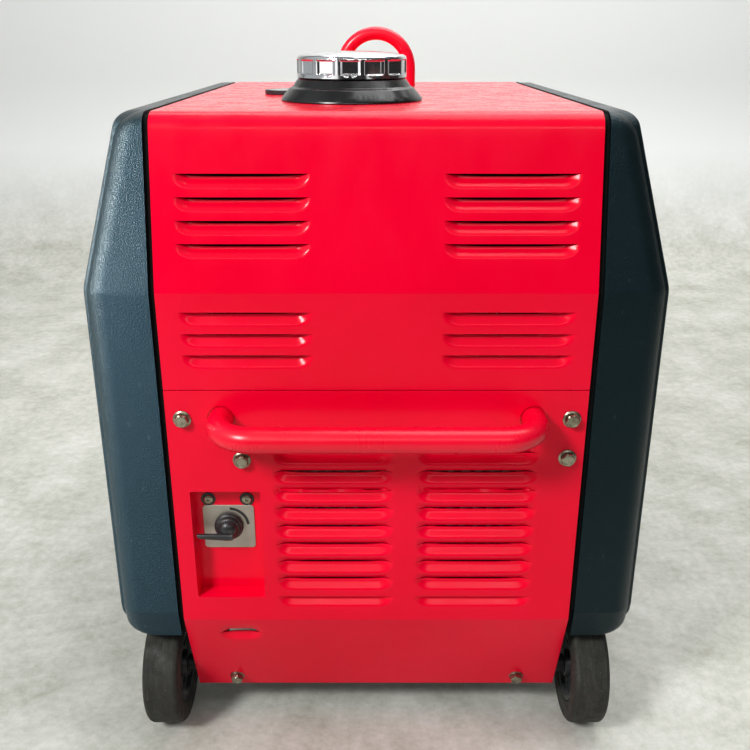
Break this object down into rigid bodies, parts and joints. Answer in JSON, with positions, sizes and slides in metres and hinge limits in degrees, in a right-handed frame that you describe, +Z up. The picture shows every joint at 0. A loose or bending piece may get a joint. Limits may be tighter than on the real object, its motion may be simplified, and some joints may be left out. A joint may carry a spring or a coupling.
{
  "type": "inverter generator",
  "caption": "Portable inverter generator: louvered red sheet body between grey side covers, end handles, fuel cock pocket, filler cap, lifting hook, fixed wheels and swivel casters.",
  "frame": {"origin": "on the floor, under the middle of the bounding box", "axes": "-Y is the end with the fuel cock and fixed wheels, +X is the control panel side, +Z is up"},
  "size_m": [0.45, 0.63, 0.617],
  "materials": {
    "red_paint": "gloss powder coat",
    "cover_plastic": "fine moulded grain",
    "black_rubber": "satin",
    "zinc_plate": "yellowed zinc plating",
    "label_plate": "printed satin plate",
    "black_plastic": "satin moulding",
    "tank_paint": "semi-gloss",
    "chrome_plate": "polished",
    "clear_lens": "clear",
    "needle_orange": "satin",
    "chassis_paint": "satin",
    "tyre_rubber": "dusty moulded rubber",
    "caster_rubber": "satin",
    "brake_red": "satin moulding",
    "panel_plastic": "fine moulded grain",
    "switch_red": "satin moulding",
    "switch_green": "satin moulding",
    "outlet_ivory": "satin moulding",
    "lamp_green": "clear moulding",
    "earth_brass": "bright",
    "cast_alloy": "as cast",
    "steel_shaft": "ground",
    "rotor_iron": "machined",
    "copper_winding": "varnished windings",
    "hot_steel": "heat-tinted"
  },
  "bodies": {
    "body": {"upper_cover": "red_paint", "front_panel": "red_paint", "rear_panel": "red_paint", "left_cover": "cover_plastic", "right_cover": "cover_plastic", "edge_seals": "black_rubber", "front_handle": "red_paint", "rear_handle": "red_paint", "panel_bolts": "zinc_plate", "small_screws": "zinc_plate", "cock_label_plate": "label_plate", "fuel_cock_valve": "zinc_plate", "fuel_hose": "black_rubber", "fuel_tank": "tank_paint", "filler_boot": "black_rubber", "fuel_gauge": "black_plastic", "gauge_lens": "clear_lens", "lifting_hook": "red_paint", "chassis": "chassis_paint", "front_axle": "zinc_plate", "caster_plates": "zinc_plate", "control_panel": "panel_plastic", "ac_outlets": "outlet_ivory", "pilot_lamps": "lamp_green", "earth_terminal": "earth_brass", "recoil_pocket": "panel_plastic", "recoil_starter": "chassis_paint", "engine_block": "cast_alloy", "cylinder_head": "cast_alloy", "stator": "copper_winding", "engine_mounts": "black_rubber", "carburettor": "cast_alloy", "air_cleaner": "black_plastic", "muffler": "hot_steel", "inverter_unit": "cast_alloy"},
    "left_wheel": {"left_tyre": "tyre_rubber", "left_hub": "black_plastic"},
    "right_wheel": {"right_tyre": "tyre_rubber", "right_hub": "black_plastic"},
    "left_caster": {"left_caster_fork": "zinc_plate"},
    "right_caster": {"right_caster_fork": "zinc_plate"},
    "left_caster_roller": {"left_caster_wheel": "caster_rubber"},
    "right_caster_roller": {"right_caster_wheel": "caster_rubber"},
    "left_brake": {"left_caster_brake": "brake_red"},
    "right_brake": {"right_caster_brake": "brake_red"},
    "fuel_cock": {"cock_lever": "black_plastic"},
    "cap_insert": {"fuel_cap_insert": "black_rubber"},
    "cap_shell": {"fuel_cap_shell": "chrome_plate"},
    "gauge_hand": {"gauge_needle": "needle_orange"},
    "hatch": {"service_lid": "cover_plastic"},
    "hatch_latch": {"lid_latch": "black_plastic"},
    "ignition_knob": {"engine_switch": "switch_red"},
    "choke": {"choke_knob": "black_plastic"},
    "eco_rocker": {"eco_switch": "switch_green"},
    "breaker_rocker": {"ac_breaker": "black_plastic"},
    "upper_flap": {"upper_outlet_cover": "black_plastic"},
    "lower_flap": {"lower_outlet_cover": "black_plastic"},
    "starter_grip": {"recoil_grip": "black_plastic"},
    "crank": {"crankshaft": "steel_shaft", "rotor": "rotor_iron"}
  },
  "joints": [
    {"name": "left_wheel_spin", "type": "hinge", "parent": "body", "child": "left_wheel", "pos_m": [-0.193, -0.221, 0.053], "axis": [1, 0, 0], "continuous": true},
    {"name": "left_caster_swivel", "type": "hinge", "parent": "body", "child": "left_caster", "pos_m": [-0.168, 0.205, 0.1], "axis": [0, 0, 1], "continuous": true},
    {"name": "left_caster_spin", "type": "hinge", "parent": "left_caster", "child": "left_caster_roller", "pos_m": [-0.168, 0.235, 0.0375], "axis": [1, 0, 0], "continuous": true},
    {"name": "left_brake_press", "type": "hinge", "parent": "left_caster", "child": "left_brake", "pos_m": [-0.168, 0.262, 0.072], "axis": [-1, 0, 0], "range_deg": [0, 18]},
    {"name": "right_wheel_spin", "type": "hinge", "parent": "body", "child": "right_wheel", "pos_m": [0.193, -0.221, 0.053], "axis": [1, 0, 0], "continuous": true},
    {"name": "right_caster_swivel", "type": "hinge", "parent": "body", "child": "right_caster", "pos_m": [0.168, 0.205, 0.1], "axis": [0, 0, 1], "continuous": true},
    {"name": "right_caster_spin", "type": "hinge", "parent": "right_caster", "child": "right_caster_roller", "pos_m": [0.168, 0.235, 0.0375], "axis": [1, 0, 0], "continuous": true},
    {"name": "right_brake_press", "type": "hinge", "parent": "right_caster", "child": "right_brake", "pos_m": [0.168, 0.262, 0.072], "axis": [-1, 0, 0], "range_deg": [0, 18]},
    {"name": "fuel_cock_turn", "type": "hinge", "parent": "body", "child": "fuel_cock", "pos_m": [-0.1248, -0.25, 0.2193], "axis": [0, -1, 0], "range_deg": [0, 90]},
    {"name": "fuel_cap_lift", "type": "slide", "parent": "body", "child": "cap_insert", "axis": [0, 0, 1], "range_m": [0, 0.06]},
    {"name": "fuel_cap_turn", "type": "hinge", "parent": "cap_insert", "child": "cap_shell", "pos_m": [-0.021, -0.105, 0.58], "axis": [0, 0, 1], "continuous": true},
    {"name": "gauge_hand_turn", "type": "hinge", "parent": "body", "child": "gauge_hand", "pos_m": [-0.084, -0.015, 0.556], "axis": [0, 0, 1], "range_deg": [-50, 50]},
    {"name": "hatch_open", "type": "hinge", "parent": "body", "child": "hatch", "pos_m": [-0.221, 0, 0.18], "axis": [0, -1, 0], "range_deg": [0, 90]},
    {"name": "hatch_latch_turn", "type": "hinge", "parent": "hatch", "child": "hatch_latch", "pos_m": [-0.217, 0, 0.378], "axis": [1, 0, 0], "range_deg": [0, 90]},
    {"name": "ignition_turn", "type": "hinge", "parent": "body", "child": "ignition_knob", "pos_m": [0.215, -0.176, 0.338], "axis": [1, 0, 0], "range_deg": [0, 90]},
    {"name": "choke_pull", "type": "slide", "parent": "body", "child": "choke", "axis": [1, 0, 0], "range_m": [0, 0.018]},
    {"name": "eco_rock", "type": "hinge", "parent": "body", "child": "eco_rocker", "pos_m": [0.209, -0.122, 0.365], "axis": [0, 1, 0], "range_deg": [0, 18]},
    {"name": "breaker_rock", "type": "hinge", "parent": "body", "child": "breaker_rocker", "pos_m": [0.209, -0.122, 0.318], "axis": [0, 1, 0], "range_deg": [0, 18]},
    {"name": "upper_flap_lift", "type": "hinge", "parent": "body", "child": "upper_flap", "pos_m": [0.2202, -0.058, 0.3822], "axis": [0, -1, 0], "range_deg": [0, 110], "stiffness_Nm_per_rad": 0.01, "springref_deg": -17.19},
    {"name": "lower_flap_lift", "type": "hinge", "parent": "body", "child": "lower_flap", "pos_m": [0.2202, -0.058, 0.3002], "axis": [0, -1, 0], "range_deg": [0, 110], "stiffness_Nm_per_rad": 0.01, "springref_deg": -17.19},
    {"name": "starter_pull", "type": "slide", "parent": "body", "child": "starter_grip", "axis": [1, 0, 0], "range_m": [0, 0.1], "stiffness_N_per_m": 60, "springref_m": -0.1},
    {"name": "crank_spin", "type": "hinge", "parent": "body", "child": "crank", "pos_m": [0, 0, 0.235], "axis": [0, 1, 0], "continuous": true}
  ]
}
